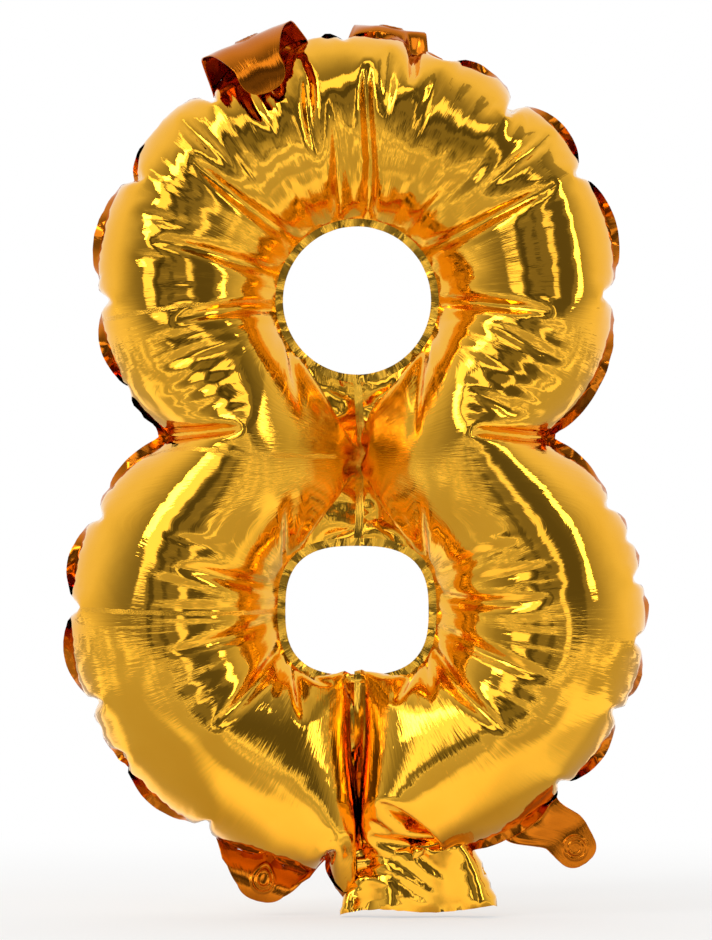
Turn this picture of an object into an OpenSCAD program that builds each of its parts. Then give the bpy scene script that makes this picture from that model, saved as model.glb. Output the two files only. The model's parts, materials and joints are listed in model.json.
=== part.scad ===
// Inflated foil number balloon, the figure 8: two film panels welded to each other along
// flat seams, a flat filling neck with its self-sealing valve, and four hanging tabs.
// +X is the figure's right, +Z is up, and the front faces -Y. z = 0 is the neck's hem.

/* [Rings] */
// Height of the lower ring's centre
lower_z = 120.8; // [118:0.2:124]
// Distance between the centres of the two rings
ring_pitch = 124; // [121:0.5:127]
// Outer seam radius of the upper ring
upper_r = 101.5; // [99:0.5:103]
// Half width of the lower ring at its outer seam
lower_rx = 114.2; // [111:0.2:117]
// Half height of the lower ring at its outer seam
lower_rz = 100.5; // [99:0.5:101.5]
// Depth of a tube, as a share of its width
fullness = 0.98; // [0.9:0.01:1]
// Share of its depth that the tube keeps in the crease at the waist
waist_keep = 0.84; // [0.7:0.01:1]

/* [Counters] */
// Radius of the upper counter, which is the hole in the upper ring
upper_counter_r = 29.6; // [27:0.2:31]
// Half width of the lower counter
lower_counter_x = 28.6; // [27:0.2:30]
// Half height of the lower counter
lower_counter_z = 25.8; // [24:0.2:27]
// Squareness of the lower counter, where 2 is an ellipse
counter_power = 2.8; // [2:0.1:3.2]

/* [Film] */
// Thickness of one foil panel, thicker than real film so that it is a sound solid
film_t = 0.4; // [0.3:0.05:0.6]
// Thickness of a welded seam, which holds both films
seam_t = 0.8; // [0.6:0.1:1]
// Width of a seam outside the weld line
flange_w = 3.2; // [2.5:0.1:4]
// Width of a seam inside the weld line
lap_w = 1.6; // [1.2:0.1:2]
// Half of the gap between the left and right tubes where they meet
tube_gap = 1.2; // [1:0.1:1.4]
// Half width of the cut between the two legs
slit_half = 0.3; // [0.2:0.1:0.5]

/* [Neck and valve] */
// Left end of the neck's root along X
neck_left = 4; // [4:0.5:8]
// Right end of the neck's root along X
neck_right = 50; // [44:0.5:52]
// Gap between the neck and the seam that it hangs from
neck_gap = 0.8; // [0.6:0.1:1.2]
// Thickness of one valve film
valve_t = 0.25; // [0.2:0.05:0.3]
// Width of the valve
valve_w = 28; // [22:1:32]
// Height of the valve's open end
valve_top = 84; // [70:1:86]

/* [Tabs] */
// Thickness of a tab, which is both films welded together
tab_t = 0.8; // [0.6:0.1:1]
// Gap between a tab and the seam that it hangs from
tab_gap = 0.6; // [0.5:0.1:1]
// Inner radius of the embossed ring on a tab
ring_in = 3; // [2.5:0.1:3.5]
// Outer radius of the embossed ring on a tab
ring_out = 4.4; // [4:0.1:5]
// Height of the embossed ring above the tab's face
ring_rise = 0.25; // [0.2:0.05:0.4]

/* [Hidden] */
$fn = 96;

gold = [0.83, 0.62, 0.16];
deep_gold = [0.66, 0.36, 0.07];
clear_film = [0.85, 0.9, 0.93, 0.5];

upper_z = lower_z + ring_pitch;
half_seam = seam_t / 2;
deep = 60;               // longer than the balloon is deep, for cuts along Y

// The notch in the outline between the rings, as angles above and below each ring's middle
lower_stop = 31;         // where the lower ring's outline leaves its ellipse
upper_stop = -28;        // where the upper ring's outline starts its circle
notch_x = 84.5;
notch_z = 187;

lower_tube = 41.5;       // most height of one panel over the lower ring
upper_tube = 36;         // most height of one panel over the upper ring

counter_end = 86;        // angle at which a counter's seam meets the waist's
crease_spread = 14;      // height over which the crease at the waist fades
facing_power = 2;        // how late the inner seam runs ahead of the outer one

lower_steps = 20;
waist_steps = 6;
upper_steps = 18;
arch_steps = 12;
leg_crowding = 1.15;     // how much closer the stations stand near the slit
leg_taper = 26;          // degrees over which a tube closes towards the slit between the legs
leg_floor = 0.04;        // share of its height that the tube's closed end keeps

neck_slope = 0.2;        // rise of the neck's root along X
neck_root_z = 16.6;      // height of the neck's root at its left end
neck_edge = 3;           // width of the weld along each side of the neck
neck_air = 0.3;          // half of the gap between the neck's two films
valve_air = 0.1;         // half of the gap between the valve's two films
valve_edge = 2.5;        // width of the weld along each side of the valve
valve_shift = 1;         // how far the valve stands to the left of the root's middle

function mix(a, b, t) = a + (b - a) * t;
function flip(p) = [-p[0], p[1]];
function backwards(list) = [for (i = [len(list) - 1 : -1 : 0]) list[i]];
function power(v, e) = sign(v) * pow(abs(v), e);

// ---- Seam lines of the right half, as [x, z] at an angle from the ring's middle ----

function lower_outer(angle, grow = 0) = [
  tube_gap + (lower_rx + grow - tube_gap) * cos(angle),
  lower_z + (lower_rz + grow) * sin(angle)
];
function upper_outer(angle, grow = 0) =
  [(upper_r + grow) * cos(angle), upper_z + (upper_r + grow) * sin(angle)];

function waist_outer(t, grow = 0) =
  let (a = lower_outer(lower_stop, grow), c = upper_outer(upper_stop, grow),
       b = [notch_x + grow, notch_z])
  mix(mix(a, b, t), mix(b, c, t), t);

function lower_counter(angle, grow = 0) =
  let (e = 2 / counter_power)
  [(lower_counter_x + grow) * power(cos(angle), e),
   lower_z + (lower_counter_z + grow) * power(sin(angle), e)];
function lower_inner(angle) =
  let (p = lower_counter(angle, flange_w)) [max(p[0], tube_gap), p[1]];
function upper_inner(angle) =
  let (r = upper_counter_r + flange_w, x = r * cos(angle))
  [angle < 0 ? max(x, tube_gap) : x, upper_z + r * sin(angle)];

// The inner seam's angle that faces an angle of the outer seam. It runs ahead towards the
// waist, where the tube turns less on its outside than around the counter.
function lower_facing(angle) =
  angle < 0 ? angle
            : angle + (counter_end - lower_stop) * pow(angle / lower_stop, facing_power);
function upper_facing(angle) =
  angle > 0 ? angle
            : angle - (counter_end + upper_stop) * pow(angle / upper_stop, facing_power);

// ---- Stations along the right half's tube: [inner seam, outer seam, height] ----

function leg_closing(angle) =
  let (t = min(1, (angle + 90) / leg_taper)) max(leg_floor, sqrt(1 - pow(1 - t, 2)));
function waist_crease(z) =
  1 - (1 - waist_keep) * exp(-pow((z - notch_z) / crease_spread, 2));
function station(inner, outer, most, keep) =
  [inner, outer, min(most, fullness * norm(outer - inner) / 2) * keep];

lower_stations = [
  for (i = [0 : lower_steps])
    let (angle = mix(-90, lower_stop, pow(i / lower_steps, leg_crowding)),
         outer = lower_outer(angle))
    station(lower_inner(lower_facing(angle)), outer, lower_tube,
            leg_closing(angle) * (angle > 0 ? waist_crease(outer[1]) : 1))
];
waist_stations =
  let (low = lower_inner(counter_end), high = upper_inner(-counter_end))
  [for (i = [1 : waist_steps - 1])
    let (t = i / waist_steps, outer = waist_outer(t))
    station([tube_gap, mix(low[1], high[1], t)], outer, mix(lower_tube, upper_tube, t),
            waist_crease(outer[1]))];
upper_stations = [
  for (i = [0 : upper_steps])
    let (angle = mix(upper_stop, 90, i / upper_steps), outer = upper_outer(angle))
    station(upper_inner(upper_facing(angle)), outer, upper_tube,
            angle < 0 ? waist_crease(outer[1]) : 1)
];
right_stations = concat(lower_stations, waist_stations, upper_stations);
left_stations = [
  for (i = [len(right_stations) - 2 : -1 : 0])
    let (s = right_stations[i]) [flip(s[0]), flip(s[1]), s[2]]
];
tube_stations = concat(right_stations, left_stations);

// ---- Film panels ----

// One arch of film over a station, from its inner seam to its outer one
function arch(s, inset) =
  let (along = (s[1] - s[0]) / norm(s[1] - s[0]),
       a = s[0] + along * inset, b = s[1] - along * inset, h = s[2] - inset)
  [for (k = [0 : arch_steps])
    let (turn = 180 * k / arch_steps, p = mix(a, b, (1 - cos(turn)) / 2))
    [p[0], -half_seam - max(h, film_t / 2) * sin(turn), p[1]]];

module film_panel() {
  ring = 2 * (arch_steps + 1);
  last = len(tube_stations) - 1;
  points = [for (s = tube_stations) each concat(arch(s, 0), backwards(arch(s, film_t)))];
  walls = [
    for (i = [0 : last - 1], k = [0 : ring - 1])
      let (a = i * ring + k, b = i * ring + (k + 1) % ring, c = b + ring, d = a + ring)
      each [[a, b, c], [a, c, d]]
  ];
  first_end = [
    for (k = [0 : arch_steps - 1])
      let (a = k, b = k + 1, c = ring - 2 - k, d = ring - 1 - k)
      each [[a, c, b], [a, d, c]]
  ];
  last_end = [
    for (f = first_end) [f[0] + last * ring, f[2] + last * ring, f[1] + last * ring]
  ];
  polyhedron(points, concat(walls, first_end, last_end), convexity = 10);
}

module front_film() {
  color(gold) film_panel();
}

module back_film() {
  color(gold) mirror([0, 1, 0]) film_panel();
}

// ---- Welded seams: flat bands in the plane y = 0 ----

// Draws a shape given in X and Z as a plate that is centred on y = 0
module plate(thickness) {
  rotate([90, 0, 0]) translate([0, 0, -thickness / 2]) linear_extrude(thickness) children();
}

ring_points = 24;
notch_points = 8;
function right_outline(grow) = concat(
  [for (i = [0 : ring_points]) lower_outer(mix(-90, lower_stop, i / ring_points), grow)],
  [for (i = [1 : notch_points - 1]) waist_outer(i / notch_points, grow)],
  [for (i = [0 : ring_points]) upper_outer(mix(upper_stop, 90, i / ring_points), grow)]
);
module outline(grow) {
  right = right_outline(grow);
  left = [for (i = [len(right) - 2 : -1 : 0]) flip(right[i])];
  polygon(concat(right, left));
}
module lower_counter_outline(grow) {
  polygon([for (i = [0 : 71]) lower_counter(5 * i, grow)]);
}
counter_band = flange_w + lap_w;

function neck_root(x) = neck_root_z + neck_slope * (x - neck_left);

module outer_seam() {
  neck_pass_right = neck_right - neck_edge;
  neck_pass = [
    [neck_left, 0], [neck_pass_right, 0], [neck_pass_right, deep], [neck_left, deep]
  ];
  color(deep_gold) plate(seam_t) difference() {
    outline(flange_w);
    outline(-lap_w);
    polygon(neck_pass);
    translate([-slit_half, 0]) square([2 * slit_half, lower_z]);
  }
}

module upper_counter_seam() {
  color(deep_gold) translate([0, 0, upper_z]) rotate([90, 0, 0]) difference() {
    cylinder(r = upper_counter_r + counter_band, h = seam_t, center = true);
    cylinder(r = upper_counter_r, h = 2 * seam_t, center = true);
  }
}

module lower_counter_seam() {
  color(deep_gold) plate(seam_t) difference() {
    lower_counter_outline(counter_band);
    lower_counter_outline(0);
  }
}

module waist_seam() {
  half = tube_gap + lap_w;
  color(deep_gold) plate(seam_t) difference() {
    translate([-half, lower_z]) square([2 * half, ring_pitch]);
    translate([0, upper_z]) circle(r = upper_counter_r + counter_band);
    lower_counter_outline(counter_band);
  }
}

leg_reach = 10;          // wider than a leg's weld, for the cut along the outer seam

// The weld beside the slit, on the leg at the right
module leg_seam() {
  color(deep_gold) plate(seam_t) difference() {
    translate([slit_half, 0]) square([tube_gap + lap_w - slit_half, lower_z]);
    lower_counter_outline(counter_band);
    difference() {
      translate([0, -1]) square([leg_reach, deep]);
      outline(-lap_w);
    }
  }
}

module left_leg_seam() {
  mirror([1, 0, 0]) leg_seam();
}

module right_leg_seam() {
  leg_seam();
}

// ---- Filling neck and valve, between the panels at the foot of the right leg ----

// The hem's wavy line from the neck's left corner to its right one
neck_hem = [
  [-9.5, 5], [-11, 1.5], [-3, 0.8], [10, 3.2], [22, 1.8], [35, 0], [50, 0.6], [57, 3.5], [55, 14]
];
neck_hem_left = neck_hem[0][0];
neck_hem_right = neck_hem[7][0];
module neck_outline() {
  polygon(concat(
    [[neck_left, neck_root(neck_left) - neck_gap]],
    neck_hem,
    [[neck_right, neck_root(neck_right) - neck_gap]]
  ));
}
module neck_sides() {
  intersection() {
    neck_outline();
    union() {
      polygon([
        [neck_left + neck_edge, neck_root_z + neck_edge], [neck_hem_left + neck_edge, 0],
        [-deep, 0], [-deep, deep]
      ]);
      polygon([
        [neck_right - neck_edge, deep / 2], [neck_hem_right - neck_edge, 0],
        [2 * deep, 0], [2 * deep, deep]
      ]);
    }
  }
}
// The neck's film on the front: a plate, thicker where it reaches the other film at the sides
module neck_film() {
  color(gold) union() {
    translate([0, -neck_air - film_t / 2, 0]) plate(film_t) neck_outline();
    translate([0, -(neck_air + film_t) / 2, 0]) plate(neck_air + film_t) neck_sides();
  }
}

module neck_front_film() {
  neck_film();
}

module neck_back_film() {
  mirror([0, 1, 0]) neck_film();
}

module valve_film() {
  middle = (neck_left + neck_right) / 2 - valve_shift;
  foot = neck_root(neck_right);
  color(clear_film) translate([middle - valve_w / 2, 0, foot]) union() {
    translate([0, -valve_air - valve_t, 0]) cube([valve_w, valve_t, valve_top - foot]);
    for (x = [0, valve_w - valve_edge])
      translate([x, -valve_air - valve_t, 0])
        cube([valve_edge, valve_air + valve_t, valve_top - foot]);
  }
}

module valve_front_film() {
  valve_film();
}

module valve_back_film() {
  mirror([0, 1, 0]) valve_film();
}

// ---- Hanging tabs ----

// A flat tab that points down from z = 0, with a round tip and an embossed ring
module flat_tab(root_w, tip_r, length, ring_drop) {
  lobe = length - tip_r;
  color(deep_gold) difference() {
    union() {
      plate(tab_t) intersection() {
        union() {
          polygon([[-root_w / 2, 0], [root_w / 2, 0], [tip_r, -lobe], [-tip_r, -lobe]]);
          translate([0, -lobe]) circle(r = tip_r);
        }
        translate([-root_w, -2 * length]) square([2 * root_w, 2 * length]);
      }
      translate([0, 0, -ring_drop]) rotate([90, 0, 0])
        cylinder(r = ring_out, h = tab_t + 2 * ring_rise, center = true);
    }
    for (side = [-1, 1])
      translate([0, side * (tab_t + ring_rise) / 2, -ring_drop]) rotate([90, 0, 0])
        cylinder(r = ring_in, h = ring_rise, center = true);
  }
}

// A tab that rises from z = 0 and rolls forward about an axis along X. The roll's centre
// is at [roll_y, roll_z], the film leaves its root at y = 0 and turns through the angle roll,
// and a lobe of width tip_w hangs in front where the roll comes down again.
module rolled_tab(roll_y, roll_z, roll, root_w, crest_w, tip_w, ring_turn) {
  bite = ring_rise + 0.05;             // how far the ring's wall sinks into the tab
  roll_r = norm([roll_y, roll_z]);
  start = atan2(-roll_z, -roll_y);
  crest = roll_z + roll_r;
  low = roll_z + roll_r * sin(start + roll);
  shoulder = min(low, 0) - 1;
  color(deep_gold) union() {
    intersection() {
      translate([0, roll_y, roll_z]) rotate([start, 0, 0]) rotate([90, 0, 90])
        rotate_extrude(angle = roll) translate([roll_r - tab_t / 2, -root_w / 2])
        square([tab_t, root_w]);
      plate(2 * deep) union() {
        polygon([
          [-crest_w / 2, crest + 1], [crest_w / 2, crest + 1],
          [root_w / 2, 0.5], [tip_w / 2 + 2, -1], [-tip_w / 2 - 2, -1], [-root_w / 2, 0.5]
        ]);
        polygon([
          [-tip_w / 2 - 2, -0.9], [tip_w / 2 + 2, -0.9],
          [tip_w / 2, shoulder + tip_w / 2], [-tip_w / 2, shoulder + tip_w / 2]
        ]);
        translate([0, shoulder + tip_w / 2]) circle(r = tip_w / 2);
      }
    }
    translate([0, roll_y, roll_z]) rotate([start + ring_turn - 90, 0, 0])
      translate([0, 0, roll_r + tab_t / 2 - bite]) difference() {
        cylinder(r = ring_out, h = ring_rise + bite);
        translate([0, 0, -ring_rise]) cylinder(r = ring_in, h = 4 * ring_rise);
      }
  }
}

// Places a tab's root outside the seam of a ring, at an angle from the ring's middle
module on_upper_ring(angle) {
  p = upper_outer(angle, flange_w + tab_gap);
  translate([p[0], 0, p[1]]) rotate([0, 90 - angle, 0]) children();
}
module on_lower_ring(angle) {
  p = lower_outer(angle, flange_w + tab_gap);
  lean = atan2(lower_rz * cos(angle), -lower_rx * sin(angle));
  translate([p[0], 0, p[1]]) rotate([0, -lean, 0]) children();
}

module tab_top_left() {
  on_upper_ring(113) rolled_tab(-15, -12, 156, 46, 34, 19, 50);
}

module tab_top_right() {
  on_upper_ring(83) mirror([0, 1, 0]) rolled_tab(-10, -7.6, 125, 34, 26, 24, 55);
}

module tab_bottom_left() {
  mirror([1, 0, 0]) on_lower_ring(-73) flat_tab(31, 13, 16, 8.5);
}

module tab_bottom_right() {
  on_lower_ring(-50) flat_tab(26, 8.5, 26, 18.5);
}

front_film();
back_film();
outer_seam();
upper_counter_seam();
lower_counter_seam();
waist_seam();
left_leg_seam();
right_leg_seam();
valve_front_film();
valve_back_film();
neck_front_film();
neck_back_film();
tab_top_left();
tab_top_right();
tab_bottom_left();
tab_bottom_right();
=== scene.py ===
"""Foil number balloon: the film is cut flat, welded, and inflated here. Lengths in the film
code are millimetres in the figure's plane, and metres once they are Blender objects."""

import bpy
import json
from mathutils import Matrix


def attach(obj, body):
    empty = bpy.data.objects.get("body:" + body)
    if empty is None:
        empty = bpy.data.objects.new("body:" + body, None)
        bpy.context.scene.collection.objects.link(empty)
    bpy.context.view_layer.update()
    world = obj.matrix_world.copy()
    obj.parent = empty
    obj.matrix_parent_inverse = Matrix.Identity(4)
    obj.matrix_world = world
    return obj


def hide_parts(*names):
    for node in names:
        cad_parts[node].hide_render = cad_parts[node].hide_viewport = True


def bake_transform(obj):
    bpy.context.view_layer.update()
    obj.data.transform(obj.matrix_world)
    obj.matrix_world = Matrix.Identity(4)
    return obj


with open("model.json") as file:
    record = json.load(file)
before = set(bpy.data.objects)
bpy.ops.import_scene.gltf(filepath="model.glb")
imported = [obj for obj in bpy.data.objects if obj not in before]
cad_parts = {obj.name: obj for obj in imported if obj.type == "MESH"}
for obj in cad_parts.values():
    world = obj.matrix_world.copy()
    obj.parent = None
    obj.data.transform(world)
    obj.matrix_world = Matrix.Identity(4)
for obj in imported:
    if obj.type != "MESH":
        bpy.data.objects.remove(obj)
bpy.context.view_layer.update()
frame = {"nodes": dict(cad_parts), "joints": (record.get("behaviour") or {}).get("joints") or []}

import json
import math

import bpy
import numpy as np
from mathutils import Vector
from mathutils.bvhtree import BVHTree
from mathutils.geometry import delaunay_2d_cdt
from mathutils.kdtree import KDTree

MM = 1000

# ---- The flat cutting pattern: x across, z up ----
UP = np.array([0.0, 250.3])      # middle of the upper ring
LO = np.array([0.0, 115.3])      # middle of the lower ring
R_UP = 127.2                     # outer weld round the upper ring
RX_LO, RZ_LO = 145.6, 129.4      # outer weld round the lower ring, an ellipse
RI_UP = 32.8                     # upper counter
CX_LO, CZ_LO, P_LO = 31.8, 29.0, 2.8   # lower counter, a rounded square
FLANGE = 3.2                     # width of the weld flanges
WAIST = 1.6                      # half width of the waist weld
SLIT = 2.6                       # outer edge of a leg weld
SLIT_FOOT = -12.0                # height where the leg welds end
CUT = 0.25                       # half width of the cut between the legs
NECK = np.array([
    (52.0, -3.5), (53.0, -13.5), (56.5, -25.5), (59.5, -38.5),
    (-10.0, -40.0), (-7.0, -30.5), (2.2, -19.5), (3.4, -12.5)])
MIDDLE = (UP[1] + LO[1]) / 2     # height between the two rings
DROP = 5.5                       # how far inflating pulls each ring's middle to the other
SEED = 8


def signed_power(value, power):
    return np.sign(value) * np.abs(value) ** power


def resample(points, step, closed=True):
    """Points at about one step along a curve"""
    p = np.asarray(points, float)
    if closed:
        p = np.vstack([p, p[:1]])
    seg = np.linalg.norm(np.diff(p, axis=0), axis=1)
    s = np.r_[0, np.cumsum(seg)]
    n = max(8, int(round(s[-1] / step)))
    t = np.linspace(0, s[-1], n + 1)
    if closed:
        t = t[:-1]
    return np.c_[np.interp(t, s, p[:, 0]), np.interp(t, s, p[:, 1])]


def outline(grow=0.0):
    """The outer weld, or its free edge: the union of the two rings, counterclockwise"""
    a = np.radians(np.linspace(-90, 270, 1441)[:-1])
    upper = UP + (R_UP + grow) * np.c_[np.cos(a), np.sin(a)]
    lower = LO + np.c_[(RX_LO + grow) * np.cos(a), (RZ_LO + grow) * np.sin(a)]
    rel = upper - LO
    in_lower = (rel[:, 0] / (RX_LO + grow)) ** 2 + (rel[:, 1] / (RZ_LO + grow)) ** 2 < 1
    in_upper = np.hypot(*(lower - UP).T) < R_UP + grow
    upper = upper[~in_lower]
    lower = lower[~in_upper]
    right = lower[lower[:, 0] >= 0]
    left = lower[lower[:, 0] < 0]
    right = right[np.argsort(right[:, 1])]
    left = left[np.argsort(-left[:, 1])]
    turn = np.arctan2(upper[:, 1] - UP[1], upper[:, 0])
    turn = np.where(turn < -math.pi / 2, turn + 2 * math.pi, turn)
    return np.vstack([right, upper[np.argsort(turn)], left])


def counter_up(grow=0.0):
    a = np.radians(np.linspace(0, 360, 361)[:-1])
    return UP + (RI_UP + grow) * np.c_[np.cos(a), np.sin(a)]


def counter_lo(grow=0.0):
    a = np.radians(np.linspace(0, 360, 361)[:-1])
    e = 2 / P_LO
    x = (CX_LO + grow) * signed_power(np.cos(a), e)
    z = (CZ_LO + grow) * signed_power(np.sin(a), e)
    return LO + np.c_[x, z]


def poly_inside(poly, p):
    """Which points are inside a polygon"""
    x, z = p[:, 0], p[:, 1]
    result = np.zeros(len(p), bool)
    for (x0, z0), (x1, z1) in zip(poly, np.roll(poly, -1, axis=0)):
        if z0 == z1:
            continue
        result ^= ((z0 > z) != (z1 > z)) & (x < (x1 - x0) * (z - z0) / (z1 - z0) + x0)
    return result


def triangulate(step, curves, region, jitter=0.12):
    """A mesh of the region whose edges follow the curves"""
    rng = np.random.default_rng(SEED)
    points, edges, start = [], [], 0
    for curve, closed in curves:
        q = resample(curve, step, closed)
        n = len(q)
        points.append(q)
        edges += [(start + i, start + (i + 1) % n) for i in range(n if closed else n - 1)]
        start += n
    fixed = np.vstack(points)
    low, high = fixed.min(0) - step, fixed.max(0) + step
    grid = []
    for row, z in enumerate(np.arange(low[1], high[1], step * math.sqrt(3) / 2)):
        xs = np.arange(low[0] + (row % 2) * step / 2, high[0], step)
        grid.append(np.c_[xs, np.full(len(xs), z)])
    grid = np.vstack(grid)
    grid += rng.uniform(-1, 1, grid.shape) * step * jitter
    grid = grid[region(grid)]
    near = KDTree(len(fixed))
    for i, q in enumerate(fixed):
        near.insert((q[0], q[1], 0), i)
    near.balance()
    keep = np.array([near.find((x, z, 0))[2] > 0.62 * step for x, z in grid])
    points = np.vstack([fixed, grid[keep]])
    v, _, f, *_ = delaunay_2d_cdt([Vector(p) for p in points], edges, [], 0, 1e-5)
    return np.array([tuple(a) for a in v]), np.array([tuple(a) for a in f])


class Pattern:
    """The welded film, flat, as a mesh: Ff front film, Fb back film, Fw welds (one ply)"""

    def __init__(self, step):
        self.outer = resample(outline(0), 3)
        self.outer_edge = resample(outline(FLANGE), 3)
        counter = counter_lo(0)
        self.counter = resample(counter, 2)
        self.counter_edge = resample(counter_lo(-FLANGE), 2)
        self.counter_top = counter[:, 1].max()
        self.counter_foot = counter[:, 1].min()
        self.waist_top = UP[1] - RI_UP
        V, F = triangulate(step, self.curves(), lambda p: np.logical_or(*self.classify(p)))
        self.cut_plies(V, self.face_up(V, F))
        self.mark()
        self.link()

    def curves(self):
        """Every line the mesh has to follow, and whether it is closed"""
        foot = outline(0)[:, 1].min()
        seams = [
            (WAIST, self.counter_top - 0.6, self.waist_top + 0.2),
            (SLIT, SLIT_FOOT, self.counter_foot + 0.3),
            (CUT, -FLANGE + foot - 1, self.counter_foot + FLANGE)]
        lines = [np.array([[s * x, low], [s * x, high]]) for x, low, high in seams for s in (-1, 1)]
        lines += [NECK[:4], NECK[4:], NECK[3:5]]
        rings = [outline(0), outline(FLANGE), counter_up(0), counter_up(-FLANGE)]
        rings += [counter_lo(0), counter_lo(-FLANGE)]
        return [(c, True) for c in rings] + [(c, False) for c in lines]

    def classify(self, p):
        """Which points are film over air, and which are weld"""
        x, z = p[:, 0], p[:, 1]
        radius = np.hypot(x - UP[0], z - UP[1])
        in_neck = poly_inside(NECK, p)
        hole = (radius < RI_UP - FLANGE) | poly_inside(self.counter_edge, p)
        in_cut = (np.abs(x) < CUT) & (z < self.counter_foot + 2) & ~in_neck
        sheet = (poly_inside(self.outer_edge, p) | in_neck) & ~hole & ~in_cut
        inside = poly_inside(self.outer, p) & (radius > RI_UP) & ~poly_inside(self.counter, p)
        air = (inside | in_neck) & ~in_cut
        air &= ~((np.abs(x) < WAIST) & (z > self.counter_top - 0.3) & (z < self.waist_top + 0.3))
        air &= ~((np.abs(x) < SLIT) & (z < self.counter_foot) & (z > SLIT_FOOT + 0.5))
        air &= ~((x > -SLIT) & (x < 0) & (z < self.counter_foot) & ~in_neck)
        return sheet & air, sheet & ~air

    def face_up(self, V, F):
        """The faces all turned one way, without slivers"""
        a, b, c = V[F[:, 0]], V[F[:, 1]], V[F[:, 2]]
        area = (b[:, 0] - a[:, 0]) * (c[:, 1] - a[:, 1]) - (b[:, 1] - a[:, 1]) * (c[:, 0] - a[:, 0])
        F = F.copy()
        F[area < 0] = F[area < 0][:, ::-1]
        return F[np.abs(area) > 1e-3]

    def cut_plies(self, V, F):
        """Doubles the film over air into a front and a back ply, joined along the welds"""
        air, weld = self.classify(V[F].mean(1))
        Ff, Fw = F[air], F[weld]
        n = len(V)
        shared = np.zeros(n, bool)
        shared[Fw] = True
        e = np.sort(np.vstack([Ff[:, [0, 1]], Ff[:, [1, 2]], Ff[:, [2, 0]]]), axis=1)
        key = e[:, 0].astype(np.int64) * n + e[:, 1]
        unique, count = np.unique(key, return_counts=True)
        border = unique[count == 1]
        shared[border // n] = True
        shared[border % n] = True
        # the neck's mouth stays open
        right, left = NECK[3], NECK[4]
        mouth = right[1] + (V[:, 0] - right[0]) * (left[1] - right[1]) / (left[0] - right[0])
        on_mouth = np.abs(V[:, 1] - mouth) < 0.2
        shared[on_mouth & (V[:, 0] > left[0] + 1) & (V[:, 0] < right[0] - 1)] = False
        inner = np.zeros(n, bool)
        inner[Ff] = True
        inner &= ~shared
        back = np.arange(n)
        ids = np.nonzero(inner)[0]
        back[ids] = n + np.arange(len(ids))
        self.n = n
        self.Ff, self.Fb, self.Fw = Ff, back[Ff][:, ::-1], Fw
        self.flat = np.vstack([V, V[ids]])
        self.N = len(self.flat)
        self.side = np.r_[np.where(inner, -1.0, 0.0), np.ones(len(ids))]
        self.used = np.zeros(self.N, bool)
        for faces in (self.Ff, self.Fb, self.Fw):
            self.used[faces] = True

    def mark(self):
        """Which points are on the waist weld, the leg welds, the neck, or held in place"""
        f = self.flat
        radius = np.hypot(f[:, 0], f[:, 1] - UP[1])
        seam = (radius < RI_UP + 0.3) | poly_inside(resample(counter_lo(0.3), 2), f)
        between = (f[:, 1] > self.counter_top - 1) & (f[:, 1] < self.waist_top + 1)
        self.waist = (np.abs(f[:, 0]) < WAIST + 0.1) & between
        seam |= self.waist
        self.slit = (np.abs(f[:, 0]) < SLIT + 0.1) & (f[:, 1] < self.counter_foot - 1)
        self.pin = seam & self.used
        self.neck = poly_inside(NECK, f) & (f[:, 1] < -8.5 + 0.12 * f[:, 0])

    def link(self):
        """E, L: edges and their flat lengths. B, BL: pairs of points across an edge, which
        resist bending, and Bw: which of those are in a weld"""
        T = np.vstack([self.Ff, self.Fb, self.Fw])
        e = np.vstack([T[:, [0, 1]], T[:, [1, 2]], T[:, [2, 0]]])
        opposite = np.r_[T[:, 2], T[:, 0], T[:, 1]]
        triangle = np.tile(np.arange(len(T)), 3)
        es = np.sort(e, axis=1)
        key = es[:, 0].astype(np.int64) * self.N + es[:, 1]
        order = np.argsort(key, kind="stable")
        ks = key[order]
        first = np.r_[True, ks[1:] != ks[:-1]]
        self.E = es[order[first]]
        self.L = np.linalg.norm(self.flat[self.E[:, 0]] - self.flat[self.E[:, 1]], axis=1)
        start = np.nonzero(first)[0]
        two = start[np.diff(np.r_[start, len(ks)]) == 2]
        a, b = opposite[order[two]], opposite[order[two + 1]]
        nf, nb = len(self.Ff), len(self.Fb)

        def ply(t):
            return np.where(t < nf, 0, np.where(t < nf + nb, 1, 2))

        pa, pb = ply(triangle[order[two]]), ply(triangle[order[two + 1]])
        ok = (pa == pb) & (a != b)
        self.B = np.c_[a, b][ok]
        self.BL = np.linalg.norm(self.flat[self.B[:, 0]] - self.flat[self.B[:, 1]], axis=1)
        self.Bw = (pa[ok] == 2)


# ---- The membrane ----
def colour(pairs, n):
    """Groups of pairs that share no point, so that each group moves at once"""
    used, groups = [0] * n, []
    for a, b in pairs.tolist():
        taken = used[a] | used[b]
        free = ~taken & (taken + 1)
        used[a] |= free
        used[b] |= free
        groups.append(free.bit_length() - 1)
    groups = np.array(groups)
    return [np.nonzero(groups == c)[0] for c in range(groups.max() + 1)]


def constraints(pairs, rest, w, stiffness):
    """The pairs that can move, by colour, with each end's share of a correction"""
    ok = w[pairs[:, 0]] + w[pairs[:, 1]] > 0
    pairs, rest, stiffness = pairs[ok], rest[ok], stiffness[ok]
    result = []
    for g in colour(pairs, len(w)):
        i, j = pairs[g, 0], pairs[g, 1]
        s = w[i] + w[j]
        share_i = (w[i] / s * stiffness[g]).astype(np.float32)[:, None]
        share_j = (w[j] / s * stiffness[g]).astype(np.float32)[:, None]
        result.append((i, j, rest[g].astype(np.float32)[:, None], share_i, share_j))
    return result


def air_in(P, T):
    """How much of the pressure each triangle gets: it dies away into the neck"""
    c = P.flat[T].mean(1)
    air = np.ones(len(T), np.float32)
    fade = 0.15 + 0.85 * np.clip((c[:, 1] + 9) / 30, 0, 1) ** 1.5
    air *= np.where((c[:, 0] > 1) & (c[:, 0] < 62), fade, 1).astype(np.float32)
    air[P.neck[T].all(1)] = 0.0
    return air


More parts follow.
